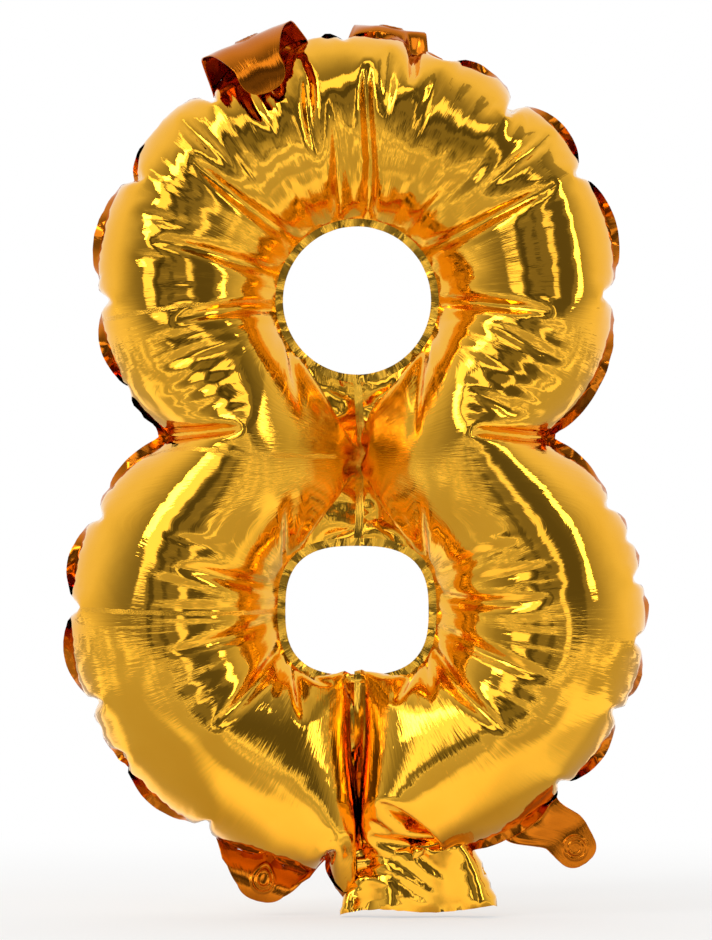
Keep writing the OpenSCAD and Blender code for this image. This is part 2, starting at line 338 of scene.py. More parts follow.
def relax(P, X, steps, iters, pressure, squeeze, damp, hook,
          bend=0.0, flange_bend=0.3, target=None, pull=0.0):
    """Blows the film up: it can't stretch, resists shortening by squeeze (0 to 1), and
    resists bending. hook(X) moves points after each step"""
    n = P.N
    X = X.astype(np.float32).copy()
    w = np.where(P.pin, 0.0, 1.0).astype(np.float32)
    edges = constraints(P.E, P.L, w, np.ones(len(P.E)))
    bends = constraints(P.B, P.BL, w, np.where(P.Bw, flange_bend, bend)) if bend > 0 else []
    V = np.zeros_like(X)
    T = np.vstack([P.Ff, P.Fb])
    corners = T.ravel()
    air = air_in(P, T)
    area = 0.5 * np.abs(np.cross(P.flat[T[:, 1]] - P.flat[T[:, 0]], P.flat[T[:, 2]] - P.flat[T[:, 0]]))
    share = np.bincount(corners, np.repeat(area / 3, 3), minlength=n)
    share[share == 0] = 1
    share = np.maximum(share, np.median(share) * 0.5)
    inv = (w / share).astype(np.float32)[:, None]
    one = np.float32(1)
    for s in range(steps):
        a, b, c = X[T[:, 0]], X[T[:, 1]], X[T[:, 2]]
        nrm = np.cross(b - a, c - a) * (air / 6)[:, None]
        acc = np.stack([np.bincount(corners, np.repeat(nrm[:, k], 3), minlength=n) for k in range(3)], 1)
        prev = X.copy()
        X = X + V * damp * w[:, None] + acc.astype(np.float32) * inv * pressure(s)
        if target is not None:
            X += (target - X) * pull
        for _ in range(iters):
            for i, j, length, share_i, share_j in edges:
                d = X[j] - X[i]
                m = np.sqrt(np.einsum("ij,ij->i", d, d))[:, None] + 1e-9
                strain = one - length / m
                d *= np.where(strain > 0, strain, strain * squeeze(s))
                X[i] += d * share_i
                X[j] -= d * share_j
            for i, j, length, share_i, share_j in bends:
                d = X[j] - X[i]
                m = np.sqrt(np.einsum("ij,ij->i", d, d))[:, None] + 1e-9
                d *= np.minimum(one - length / m, 0)
                X[i] += d * share_i
                X[j] -= d * share_j
        hook(X)
        V = X - prev
    return X


def start(P):
    """The flat pattern with its plies a little apart, and its held seams where they end up"""
    rng = np.random.default_rng(1)
    z = P.flat[:, 1]
    X = np.zeros((P.N, 3))
    X[:, 0] = P.flat[:, 0]
    X[:, 2] = z + DROP * np.clip((UP[1] + LO[1] - 2 * z) / (UP[1] - LO[1]), -1, 1)
    ring = P.pin & ~P.waist
    upper, lower = ring & (z > MIDDLE), ring & (z < MIDDLE)
    X[upper, 2] = z[upper] - DROP
    X[lower, 2] = z[lower] + DROP
    low, high = LO[1] + CZ_LO, UP[1] - RI_UP
    X[P.waist, 2] = np.interp(z[P.waist], (low, high), (low + DROP, high - DROP))
    X[:, 1] = P.side * 3 + rng.normal(0, 0.2, P.N) * ~P.pin
    # the waist weld is longer flat than inflated, so it bows forward and gathers
    t = np.clip((z - low) / (high - low), 0, 1)
    arch = np.sin(np.pi * t)
    gathers = (1.1 * np.sin(17.0 * t + 2 * np.sin(7 * t)) + 0.5 * np.sin(44 * t)) * arch ** 0.5
    X[P.waist, 1] = (3 * arch + gathers)[P.waist]
    X[P.waist, 0] += (0.5 * np.sin(11.0 * t + 1) * arch)[P.waist]
    return X


def neck_goal(P, ids):
    """Where the neck's points hang, and how hard each is pulled there"""
    g = P.flat[ids]
    t = np.clip((-10 - g[:, 1]) / 29, 0, 1)      # 0 at the root, 1 at the mouth
    wave = (5.5 * np.sin(g[:, 0] / 5.2 + 1.1) + 3.5 * np.sin(g[:, 0] / 2.7)) * t
    x = g[:, 0] * (0.95 + 0.05 * t)
    y = np.where(P.side[ids] < 0, -11 + 5 * t, 4 - 3 * t) + 0.8 * wave - 3 * t
    z = 29 - 27.5 * t + 2.2 * np.sin(g[:, 0] / 7) * t
    return np.c_[x, y, z].astype(np.float32), (0.03 + 0.15 * t ** 2)[:, None].astype(np.float32)


def legs(P):
    """A hook that keeps the two legs and the neck's two plies apart"""
    f = P.flat
    low = (f[:, 1] < 88) & ~P.neck
    left = np.nonzero((f[:, 0] < 0) & low & (f[:, 0] > -60))[0]
    right = np.nonzero((f[:, 0] > 0) & low & (f[:, 0] < 60))[0]
    slit = np.nonzero(P.slit & P.used)[0]
    neck = np.nonzero(P.neck)[0]
    goal, pull = neck_goal(P, neck)
    front = np.nonzero(P.neck & (P.side < 0))[0]
    back = np.nonzero(P.neck & (P.side > 0))[0]

    def hook(X):
        X[left, 0] = np.minimum(X[left, 0], -0.3)
        X[right, 0] = np.maximum(X[right, 0], 0.3)
        X[slit, 0] += (P.flat[slit, 0] - X[slit, 0]) * 0.25
        X[neck] += (goal - X[neck]) * pull
        for ids, side in ((front, -1), (back, 1)):
            X[ids, 1] = side * np.clip(X[ids, 1] * side, 0.4, None)
    return hook


def upsample(Pc, Xc, Pf):
    """The coarse mesh's shape on a finer one, ply by ply"""
    out = np.zeros((Pf.N, 3))
    for ply, (T, fine) in enumerate(((Pc.Ff, Pf.Ff), (Pc.Fb, Pf.Fb), (Pc.Fw, Pf.Fw))):
        ids = np.unique(fine)
        if ply == 1:
            ids = ids[ids >= Pf.n]
        if ply == 2:
            ids = np.setdiff1d(ids, np.unique(Pf.Ff))
        tree = BVHTree.FromPolygons([(x, z, 0) for x, z in Pc.flat.tolist()], [tuple(t) for t in T.tolist()])
        hit = [tree.find_nearest((p[0], p[1], 0)) for p in Pf.flat[ids].tolist()]
        t = T[np.array([h[2] for h in hit])]
        d = np.array([h[0][:2] for h in hit])
        A, B, C = Pc.flat[t[:, 0]], Pc.flat[t[:, 1]], Pc.flat[t[:, 2]]
        M = (B - A)[:, 0] * (C - A)[:, 1] - (B - A)[:, 1] * (C - A)[:, 0]
        d = d - A
        u = (d[:, 0] * (C - A)[:, 1] - d[:, 1] * (C - A)[:, 0]) / M
        v = ((B - A)[:, 0] * d[:, 1] - (B - A)[:, 1] * d[:, 0]) / M
        out[ids] = Xc[t[:, 0]] * (1 - u - v)[:, None] + Xc[t[:, 1]] * u[:, None] + Xc[t[:, 2]] * v[:, None]
    return out


# Pleats that run out from a ring's middle: angle in degrees, start, end, strength
UPPER = [
    (90, 33, 92, 1), (71, 33, 90, 1), (40, 33, 98, 1), (33, 62, 96, .6), (8, 33, 105, 1), (-15, 33, 104, 1),
    (112, 33, 90, 1), (147, 33, 97, 1), (154, 60, 98, .6), (170, 33, 96, 1), (178, 66, 96, .5),
    (197, 33, 98, 1), (190, 62, 92, .5), (215, 33, 70, .8), (-38, 33, 70, .8), (57, 33, 62, .6),
    (128, 33, 62, .6), (-3, 33, 60, .5)]
LOWER = [
    (179, 30, 95, 1), (173, 62, 96, .5), (232, 30, 84, 1.1), (221, 36, 82, .9), (241, 30, 66, .8),
    (12, 30, 100, 1), (-5, 30, 103, 1), (-42, 30, 85, 1), (66, 30, 76, 1.1), (77, 30, 72, 1.0),
    (55, 30, 68, 1.0), (47, 30, 60, .8), (86, 30, 56, .8), (160, 30, 60, .5), (205, 30, 60, .5),
    (-25, 30, 60, .5), (250, 30, 58, .6)]
# Short pleats out of the waist weld: height, angle, end, strength
WAIST_PLEATS = [
    (212, -38, 40, .7), (205, -150, 36, .6), (196, 12, 30, .5), (190, 176, 34, .6), (181, -14, 34, .6),
    (172, 160, 34, .6), (163, 30, 32, .6), (154, 144, 36, .7), (150, 20, 30, .5)]
# Broad ridges and hollows next to the outer weld: middle, angle, start, end, height
FACETS = [
    (LO, 203, 66, 130, 4), (LO, 218, 74, 128, -5), (LO, 236, 60, 126, 5), (LO, 250, 70, 126, -5),
    (LO, 300, 60, 118, 5), (LO, 318, 66, 126, -4), (LO, 338, 74, 130, 4), (UP, 128, 70, 122, 5),
    (UP, 160, 80, 124, -4), (UP, 62, 74, 122, 5), (UP, 100, 78, 122, -4)]


def ray(f, centre, angle):
    """How far each flat point is along a line from the centre, and off to its side"""
    rel = f - centre
    d = np.array([math.cos(math.radians(angle)), math.sin(math.radians(angle))])
    return rel @ d, np.abs(rel @ np.array([-d[1], d[0]]))


def normals(P, X):
    T = np.vstack([P.Ff, P.Fb])
    a, b, c = X[T[:, 0]], X[T[:, 1]], X[T[:, 2]]
    nr = np.cross(b - a, c - a)
    vn = np.zeros_like(X)
    for k in range(3):
        vn[:, k] = np.bincount(T.ravel(), np.repeat(nr[:, k], 3), minlength=P.N)
    return vn / (np.linalg.norm(vn, axis=1)[:, None] + 1e-9)


def seeds(P, X, amp, width):
    """Pushes the film in along each pleat, and shapes the facets"""
    f, out, vn = P.flat, X.copy(), normals(P, X)
    loose = (~P.pin)[:, None]
    for centre, listing in ((UP, UPPER), (LO, LOWER)):
        for angle, r0, r1, part in listing:
            along, across = ray(f, centre, angle)
            t = np.clip((along - r0) / (r1 - r0), 0, 1)
            depth = np.where((along > r0 - 1) & (along < r1), part * amp * np.sin(np.pi * t ** 0.6), 0)
            out -= vn * (depth * np.exp(-(across / width) ** 2))[:, None] * loose
    for height, angle, r1, part in WAIST_PLEATS:
        along, across = ray(f, np.array((0, height), float), angle)
        t = np.clip((along - 1) / (r1 - 1), 0, 1)
        depth = part * amp * 0.6 * np.sin(np.pi * t ** 0.6) * (along > 1) * np.exp(-(across / width) ** 2)
        out -= vn * depth[:, None] * loose
    for centre, angle, r0, r1, height in FACETS:
        along, across = ray(f, centre, angle)
        t = np.clip((along - r0) / (r1 - r0), 0, 1)
        rise = height * np.sin(np.pi * t) * np.exp(-(across / 5) ** 2) * (along > 0)
        out += vn * rise[:, None] * loose
    return out


def gather(P, X, amp, pitch):
    """Starts the outer seam off in long waves, front to back, where it has to shorten"""
    f, out = P.flat, X.copy()
    top = f[:, 1] > MIDDLE
    rel = f - np.where(top[:, None], UP[None], LO[None])
    angle = np.arctan2(rel[:, 1], rel[:, 0])
    edge = np.where(top, R_UP, 1 / np.sqrt((np.cos(angle) / RX_LO) ** 2 + (np.sin(angle) / RZ_LO) ** 2))
    depth = np.clip(edge - np.hypot(rel[:, 0], rel[:, 1]), -4, None)
    along = angle * edge
    wave = np.cos(2 * np.pi * along / pitch + 0.9 * np.sin(along / 47.0) + 0.6 * np.sin(along / 23.0))
    out[:, 1] += amp * wave * np.exp(-np.maximum(depth, 0) / 13) * ~P.pin * ~P.neck * (np.abs(f[:, 0]) > 6)
    return out


def inflate():
    """Inflates the film on three meshes, each finer than the last"""
    P = Pattern(7.0)
    X = relax(P, start(P), 240, 6, lambda s: 0.35 if s < 120 else (0.15 if s < 180 else 0.04),
              squeeze=lambda s: 0.0, damp=0.95, hook=legs(P))
    Q = Pattern(3.6)
    Y = upsample(P, X, Q)
    base = Y.astype(np.float32)
    Y = gather(Q, seeds(Q, Y, 13.0, 3.2), 9.0, 58.0)
    Y = relax(Q, Y, 120, 8, lambda s: 0.05, squeeze=lambda s: min(1, 0.1 + s / 60),
              bend=0.12, flange_bend=0.5, damp=0.9, hook=legs(Q), target=base, pull=0.004)
    R = Pattern(2.1)
    Z = upsample(Q, Y, R)
    Z = relax(R, Z, 40, 8, lambda s: 0.02, squeeze=lambda s: 1.0, bend=0.04, damp=0.85, hook=legs(R))
    return R, Z


def counter_ripples(F, X, centre, edge, angle):
    """Small waves in the weld flange round a counter"""
    d = F - centre
    r = np.hypot(d[:, 0], d[:, 1])
    k = np.clip((edge - r) / FLANGE, 0, 1) * (r < edge)
    X[:, 1] += k * (0.9 * np.sin(angle * 17 + 1.3 * np.sin(3 * angle)) + 0.5 * np.sin(angle * 29 + 2))


def finish_film(F, X):
    """Ripples the counters' welds, leans the waist weld, and laps the leg welds"""
    X = X.copy()
    angle = np.arctan2(*(F - UP).T[::-1])
    counter_ripples(F, X, UP, RI_UP, angle)
    angle = np.arctan2(*(F - LO).T[::-1])
    square = (np.abs(np.cos(angle)) / CX_LO) ** P_LO + (np.abs(np.sin(angle)) / CZ_LO) ** P_LO
    counter_ripples(F, X, LO, 1 / square ** (1 / P_LO), angle)
    t = np.clip((F[:, 1] - LO[1] - CZ_LO) / (UP[1] - RI_UP - LO[1] - CZ_LO), 0, 1)
    k = np.clip(1.6 - np.abs(F[:, 0]) / 5, 0, 1) * np.sin(np.pi * t) ** 0.5 * ((t > 0) & (t < 1))
    k = k * (np.abs(X[:, 1]) < 16)
    X[:, 0] += 1.4 * k
    X[:, 1] += k * np.clip(-F[:, 0] / WAIST, -1, 1) * 0.5
    k = np.clip(1 - np.abs(F[:, 0]) / SLIT, 0, 1) * (P.slit & P.used)
    side = np.sign(F[:, 0])
    X[:, 0] -= side * 1.5 * k
    X[:, 1] -= side * (0.9 + 0.5 * np.sin(F[:, 1] / 5.0)) * k
    return X


P, FILM = inflate()
FLAT = P.flat
FILM = finish_film(FLAT, FILM)


# ---- Materials ----
def node(nt, kind, **settings):
    n = nt.nodes.new(kind)
    for key, value in settings.items():
        setattr(n, key, value)
    return n


def set_inputs(n, **values):
    """Sets sockets by name, with _ for a space"""
    for key, value in values.items():
        n.inputs[key.replace("_", " ")].default_value = value
    return n


def new_material(name):
    m = bpy.data.materials.new(name)
    m.use_nodes = True
    return m, m.node_tree, m.node_tree.nodes["Principled BSDF"]


def foil_material(name, tint, rough, crinkle=0.35, comb=0.25):
    """Mirror film: crumples a few millimetres wide, and fine ridges out from the counters"""
    m, nt, b = new_material(name)
    link = nt.links.new
    set_inputs(b, Metallic=1.0, Roughness=rough)
    tc = node(nt, "ShaderNodeTexCoord")
    stain = set_inputs(node(nt, "ShaderNodeTexNoise"), Scale=45, Detail=4)
    link(tc.outputs["Object"], stain.inputs["Vector"])
    ramp = node(nt, "ShaderNodeValToRGB")
    dull, bright = ramp.color_ramp.elements
    dull.position, bright.position = 0.3, 0.7
    dull.color = (tint[0] * 0.96, tint[1] * 0.93, tint[2] * 0.8, 1)
    bright.color = (*tint, 1)
    link(stain.outputs["Fac"], ramp.inputs["Fac"])
    link(ramp.outputs["Color"], b.inputs["Base Color"])
    uv = node(nt, "ShaderNodeUVMap", uv_map="film")
    mapping = set_inputs(node(nt, "ShaderNodeMapping"), Scale=(62, 5, 1))
    link(uv.outputs["UV"], mapping.inputs["Vector"])
    ridge = set_inputs(node(nt, "ShaderNodeTexNoise"), Scale=1.0, Detail=3, Roughness=0.6)
    link(mapping.outputs["Vector"], ridge.inputs["Vector"])
    crumple = set_inputs(node(nt, "ShaderNodeTexVoronoi", feature="SMOOTH_F1"), Scale=55, Smoothness=0.35)
    warp = set_inputs(node(nt, "ShaderNodeTexNoise"), Scale=38, Detail=2)
    link(tc.outputs["Object"], warp.inputs["Vector"])
    add = node(nt, "ShaderNodeVectorMath", operation="MULTIPLY_ADD")
    add.inputs[1].default_value = (0.03, 0.03, 0.03)
    link(warp.outputs["Color"], add.inputs[0])
    link(tc.outputs["Object"], add.inputs[2])
    link(add.outputs[0], crumple.inputs["Vector"])
    coarse = set_inputs(node(nt, "ShaderNodeBump"), Strength=crinkle, Distance=0.0006)
    link(crumple.outputs["Distance"], coarse.inputs["Height"])
    fine = set_inputs(node(nt, "ShaderNodeBump"), Strength=comb, Distance=0.0004)
    link(ridge.outputs["Fac"], fine.inputs["Height"])
    link(coarse.outputs["Normal"], fine.inputs["Normal"])
    link(fine.outputs["Normal"], b.inputs["Normal"])
    return m


def clear_material():
    """The valve's clear film"""
    m, nt, b = new_material("valve_film")
    set_inputs(b, Base_Color=(0.9, 0.93, 0.95, 1), Roughness=0.15, Transmission_Weight=0.6, IOR=1.45)
    tc = node(nt, "ShaderNodeTexCoord")
    grain = set_inputs(node(nt, "ShaderNodeTexNoise"), Scale=120)
    nt.links.new(tc.outputs["Object"], grain.inputs["Vector"])
    bump = set_inputs(node(nt, "ShaderNodeBump"), Strength=0.3, Distance=0.0003)
    nt.links.new(grain.outputs["Fac"], bump.inputs["Height"])
    nt.links.new(bump.outputs["Normal"], b.inputs["Normal"])
    return m


GOLD = foil_material("foil_gold", (0.91, 0.465, 0.038), 0.045)
WELD = foil_material("foil_weld", (0.92, 0.50, 0.05), 0.08, crinkle=0.6)
# A darker, redder copy of the gold foil: painted shade, used on the tabs and the outer weld
FOIL_PAINTED_SHADE = foil_material("foil_gold_painted_shade", (0.56, 0.155, 0.008), 0.13, crinkle=0.35)
CLEAR = clear_material()
for valve in ("valve_front_film", "valve_back_film"):
    slots = frame["nodes"][valve].data.materials
    slots.clear()
    slots.append(CLEAR)


# ---- Pieces of the inflated film ----
def hoop_uv(q):
    """Lengths round the nearer ring and out from its middle, in decimetres"""
    t = np.clip((q[:, 1] - LO[1] - 25) / (UP[1] - LO[1] - 50), 0, 1)
    t = t * t * (3 - 2 * t)
    d = q - np.c_[0 * t, LO[1] + (UP[1] - LO[1]) * t]
    return np.c_[np.arctan2(d[:, 1], d[:, 0]) * 0.9, np.hypot(d[:, 0], d[:, 1]) / 100]


def film_object(name, points, faces, uv, material):
    """A smooth object from points in mm, with a uv for each point"""
    me = bpy.data.meshes.new(name)
    me.from_pydata((points / MM).tolist(), [], faces.tolist())
    me.update()
    me.polygons.foreach_set("use_smooth", [True] * len(me.polygons))
    layer = me.uv_layers.new(name="film")
    layer.data.foreach_set("uv", uv[faces].astype(np.float32).ravel())
    ob = bpy.data.objects.new(name, me)
    bpy.context.scene.collection.objects.link(ob)
    ob.data.materials.append(material)
    return ob


def piece(name, faces, material, nodes, body="balloon"):
    used = np.unique(faces)
    remap = np.full(P.N, -1)
    remap[used] = np.arange(len(used))
    ob = film_object(name, FILM[used], remap[faces], hoop_uv(FLAT[used]), material)
    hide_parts(*nodes)
    if body:
        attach(ob, body)
    return ob


def flat_area(F):
    """Area of the flat pattern, in square metres"""
    a, b, d = FLAT[F[:, 0]], FLAT[F[:, 1]], FLAT[F[:, 2]]
    return float(np.abs((b - a)[:, 0] * (d - a)[:, 1] - (b - a)[:, 1] * (d - a)[:, 0]).sum() / 2e6)


# the neck's root line, from the record
fold = next(j for j in frame["joints"] if j["name"] == "neck_fold")
FOLD_AT = np.array(fold["pos_m"]) * MM
FOLD_AXIS = np.array(fold["axis"])
DOWN = np.array([FOLD_AXIS[2], 0, -FOLD_AXIS[0]])
NECK_START, NECK_END = -4.0, 6.0         # where the blend across the fold begins and ends
past_fold = (FILM - FOLD_AT) @ DOWN
above_neck = (FLAT[:, 0] > 1) & (FLAT[:, 0] < 60) & (FLAT[:, 1] < 20)
in_neck = P.neck | above_neck | (FLAT[:, 1] < -17.4)


def split(F):
    """The faces of the balloon, and those of the neck"""
    m = (past_fold[F] > NECK_START).all(1) & in_neck[F].all(1)
    return F[~m], F[m]


Ff, neck_front = split(P.Ff)
Fb, neck_back = split(P.Fb)
Fw, neck_weld = split(P.Fw)
c = FLAT[Fw].mean(1)
upper = np.hypot(c[:, 0], c[:, 1] - UP[1]) < RI_UP + 0.5
lower = poly_inside(resample(counter_lo(0.4), 2), c)
slit = ~upper & ~lower & (np.abs(c[:, 0]) < SLIT) & (c[:, 1] < LO[1] - 20)
between = (c[:, 1] > LO[1]) & (c[:, 1] < UP[1])
waist = ~upper & ~lower & (np.abs(c[:, 0]) < WAIST) & between
left_leg, right_leg = slit & (c[:, 0] < 0), slit & (c[:, 0] > 0)
outer = ~(upper | lower | left_leg | right_leg | waist)

front = piece("foil_front", Ff, GOLD, ["front_film"])
back = piece("foil_back", Fb, GOLD, ["back_film"])
neck_faces = np.vstack([neck_front, neck_back, neck_weld])
neck = piece("neck_foil", neck_faces, GOLD, ["neck_front_film", "neck_back_film"], body=None)
for name, mask, cad, material in (
        # the outer weld takes the darker copy of the foil: painted shade
        ("weld_outer", outer, "outer_seam", FOIL_PAINTED_SHADE),
        ("weld_upper_counter", upper, "upper_counter_seam", WELD),
        ("weld_lower_counter", lower, "lower_counter_seam", WELD),
        ("weld_waist", waist, "waist_seam", WELD),
        ("weld_left_leg", left_leg, "left_leg_seam", WELD),
        ("weld_right_leg", right_leg, "right_leg_seam", WELD)):
    piece(name, Fw[mask], material, [cad])
flat_area(Ff)
flat_area(Fb)
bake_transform(neck)

# ---- Hanging tabs ----
UPPER_MID, LOWER_MID = np.array([0, 244.8]), np.array([0, 120.8])   # inflated rings
UPPER_R = 101.5                  # outer weld of the inflated upper ring
LOWER_RX, LOWER_RZ = 114.2, 100.5
FLANGE_OUT = 3.8                 # from the outer weld to a tab's root
TAB_ACROSS, TAB_ALONG = 64, 72   # points of a tab's grid
TAB_FILM = 0.25                  # thickness of a tab
RINGS = (2.6, 4.6)               # radii of the embossed ridges
RING_RISE, RING_WIDTH = 0.65, 0.45
CREASE = 0.11
ROOT_REACH = 13.0                # how far the root's fit to the flange reaches into a tab


def thicken(ob, t):
    bpy.context.view_layer.objects.active = ob
    m = ob.modifiers.new("t", "SOLIDIFY")
    m.thickness = t / MM
    m.offset = 0
    with bpy.context.temp_override(object=ob, active_object=ob, selected_objects=[ob]):
        bpy.ops.object.modifier_apply(modifier="t")


def flange_edge(centre, angle, half, ring):
    """Points along the outer weld's free edge, round the given angle seen from the centre"""
    on_weld = np.zeros(P.N, bool)
    on_weld[Fw[outer]] = True
    if ring == "upper":
        edge = on_weld & (np.hypot(FLAT[:, 0], FLAT[:, 1] - UP[1]) > R_UP + FLANGE - 0.2)
    else:
        wide = (FLAT[:, 0] / (RX_LO + FLANGE)) ** 2 + ((FLAT[:, 1] - LO[1]) / (RZ_LO + FLANGE)) ** 2
        edge = on_weld & (wide > 0.996)
    q = FILM[edge]
    a = np.degrees(np.arctan2(q[:, 2] - centre[1], q[:, 0] - centre[0]))
    order = np.argsort(a)
    t = np.linspace(angle - half, angle + half, TAB_ACROSS)
    return np.stack([np.interp(t, a[order], q[order, k]) for k in range(3)], 1)


def root_offsets(root, place, width_at, path):
    """How far each point of a tab's root has to move to meet the flange"""
    line = [place(np.array([t * width_at(0) / 2, *path(0.0)[0]])) for t in np.linspace(-1, 1, TAB_ACROSS)]
    offset = root - np.array(line)
    size = np.linalg.norm(offset, axis=1, keepdims=True)
    offset *= np.minimum(1, 14 / np.maximum(size, 1e-6))
    kernel = np.hanning(9)[1:-1]
    kernel /= kernel.sum()
    return np.stack([np.convolve(np.pad(offset[:, k], 3, mode="edge"), kernel, "valid") for k in range(3)], 1)


def relief(x, along, ring_at, phase):
    """Soft creases and the embossed ring, as a height off the tab's surface"""
    waves = math.sin(x / 3.1 + phase[0] + along / 9) + 0.7 * math.sin(along / 2.6 + x / 6 + phase[1])
    waves = waves + 0.5 * math.sin(x / 1.9 - along / 3.3 + phase[2])
    d = CREASE * waves * min(1, along / 8)
    r = math.hypot(x, along - ring_at)
    for ring in RINGS:
        d += RING_RISE * math.exp(-((r - ring) / RING_WIDTH) ** 2)
    return d


def tab(name, cad, width_at, path, root, place, ring_at, seed, start_end):
    """A sheet on a grid: path(s) gives (y, z), its normal and its length, width_at(s) its width"""
    phase = np.random.default_rng(seed).uniform(0, 6.28, 6)
    pts = np.zeros((TAB_ALONG, TAB_ACROSS, 3))
    offset = root_offsets(root, place, width_at, path)
    for i, s in enumerate(np.linspace(0, 1, TAB_ALONG)):
        (y, z), nrm, along = path(s)
        k = max(0.0, 1 - along / ROOT_REACH)
        k = k * k * (3 - 2 * k)
        for j, t in enumerate(np.linspace(-1, 1, TAB_ACROSS)):
            x = t * width_at(s) / 2
            d = relief(x, along, ring_at, phase)
            pts[i, j] = place(np.array([x, y + nrm[0] * d, z + nrm[1] * d])) + offset[j] * k
    idx = np.arange(TAB_ALONG * TAB_ACROSS).reshape(TAB_ALONG, TAB_ACROSS)
    F = np.stack([idx[:-1, :-1], idx[:-1, 1:], idx[1:, 1:], idx[1:, :-1]], -1).reshape(-1, 4)
    u, v = np.meshgrid(np.linspace(0, 0.4, TAB_ACROSS), np.linspace(0, 0.4, TAB_ALONG))
    uv = np.stack((u, v), -1).reshape(-1, 2)
    # the tab takes the darker copy of the foil: painted shade
    ob = film_object(name, pts.reshape(-1, 3), F, uv, FOIL_PAINTED_SHADE)
    thicken(ob, TAB_FILM)
    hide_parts(cad)
    s0, s1 = start_end
    tuple(place(s0) / 1000)
    tuple(place(s1) / 1000)
    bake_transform(ob)


def placer(px, pz, turn, mirror_x=False, mirror_y=False):
    """Puts a tab's own x, y, z at a point of the outline, turned in the figure's plane"""
    c_, s_ = math.cos(math.radians(turn)), math.sin(math.radians(turn))

    def place(p):
        x, y, z = p
        if mirror_y:
            y = -y
        q = np.array([px + x * c_ + z * s_, y, pz - x * s_ + z * c_])
        return q * [-1, 1, 1] if mirror_x else q
    return place


def upper_place(angle, mirror_y=False):
    r = UPPER_R + FLANGE_OUT
    a = math.radians(angle)
    return placer(r * math.cos(a), UPPER_MID[1] + r * math.sin(a), 90 - angle, mirror_y=mirror_y)


def lower_place(angle, mirror_x=False):
    a = math.radians(angle)
    lean = math.degrees(math.atan2(LOWER_RZ * math.cos(a), -LOWER_RX * math.sin(a)))
    x = 1.2 + (LOWER_RX + 2.6) * math.cos(a)
    z = LOWER_MID[1] + (LOWER_RZ + FLANGE_OUT) * math.sin(a)
    return placer(x, z, -lean, mirror_x=mirror_x)


def roll_path(cy, cz, turn):
    """A curl about a centre, seen from the side"""
    r = math.hypot(cy, cz)
    a0 = math.atan2(-cz, -cy)

    def path(s):
        a = a0 + math.radians(turn) * s
        at = (cy + r * math.cos(a), cz + r * math.sin(a))
        return at, (math.cos(a), math.sin(a)), r * math.radians(turn) * s
    return path


def flat_path(length, bow):
    """Straight down with a slight bow"""
    def path(s):
        return (bow * math.sin(s * 2.6), -length * s), (-1.0, 0.0), length * s
    return path


def lobe(root_w, mid_w, tip_w, length, power=2.4):
    """A tab's width from its root to its rounded tip"""
    def width(s):
        base = root_w + (mid_w - root_w) * min(1, s / 0.45)
        base = base + (tip_w - base) * max(0, min(1, (s - 0.35) / 0.4))
        end = max(0.0, (s * length - (length - tip_w / 2)) / (tip_w / 2))
        return max(0.6, base * (1 - min(1, end) ** power) ** (1 / power))
    return width


def point(x, y, z):
    return np.array([x, y, z], float)


def rolled_tab(name, cad, angle, half, widths, curl, turn, ring_turn, seed, blend_to, backward=False):
    """A tab at the top, curled forward or backward"""
    r = math.hypot(*curl)
    tab(name, cad, lobe(*widths, r * math.radians(turn)), roll_path(-curl[0], -curl[1], turn),
        flange_edge(UPPER_MID, angle, -half, "upper"), upper_place(angle, mirror_y=backward),
        r * math.radians(ring_turn), seed, (point(0, 0, 0), blend_to))


def hanging_tab(name, cad, place, root, widths, drop, path, ring_at, seed):
    """A tab at the bottom, hanging down"""
    tab(name, cad, lobe(*widths, drop), path, root, place, ring_at, seed,
        (point(0, 0, 0.5), point(0, 0, -4.5)))


rolled_tab("tab_top_left_foil", "tab_top_left", angle=113, half=12.2,
           widths=(44, 36, 19), curl=(15, 12), turn=156, ring_turn=50, seed=1, blend_to=point(0, -3.1, 3.9))
rolled_tab("tab_top_right_foil", "tab_top_right", angle=83, half=9,
           widths=(33, 28, 22), curl=(10, 7.6), turn=125, ring_turn=55, seed=2,
           blend_to=point(0, -3.0, 3.9), backward=True)
hanging_tab("tab_bottom_left_foil", "tab_bottom_left", lower_place(-73, mirror_x=True),
            flange_edge(LOWER_MID, -109.5, 12.3, "lower")[::-1], widths=(46, 34, 22), drop=17.5,
            path=flat_path(17, -2.0), ring_at=8.5, seed=3)
hanging_tab("tab_bottom_right_foil", "tab_bottom_right", lower_place(-50),
            flange_edge(LOWER_MID, -50, 7, "lower"), widths=(26, 20, 17), drop=26,
            path=flat_path(26, -3.0), ring_at=18.5, seed=4)

# ---- Studio ----
scene = bpy.context.scene
scene.view_settings.view_transform = "Standard"


def smooth_range(nt, sock, low, high, a, b):
    """a at low, b at high, smooth between"""
    m = node(nt, "ShaderNodeMapRange", interpolation_type="SMOOTHSTEP")
    set_inputs(m, From_Min=low, From_Max=high, To_Min=a, To_Max=b)
    nt.links.new(sock, m.inputs["Value"])
    return m.outputs[0]


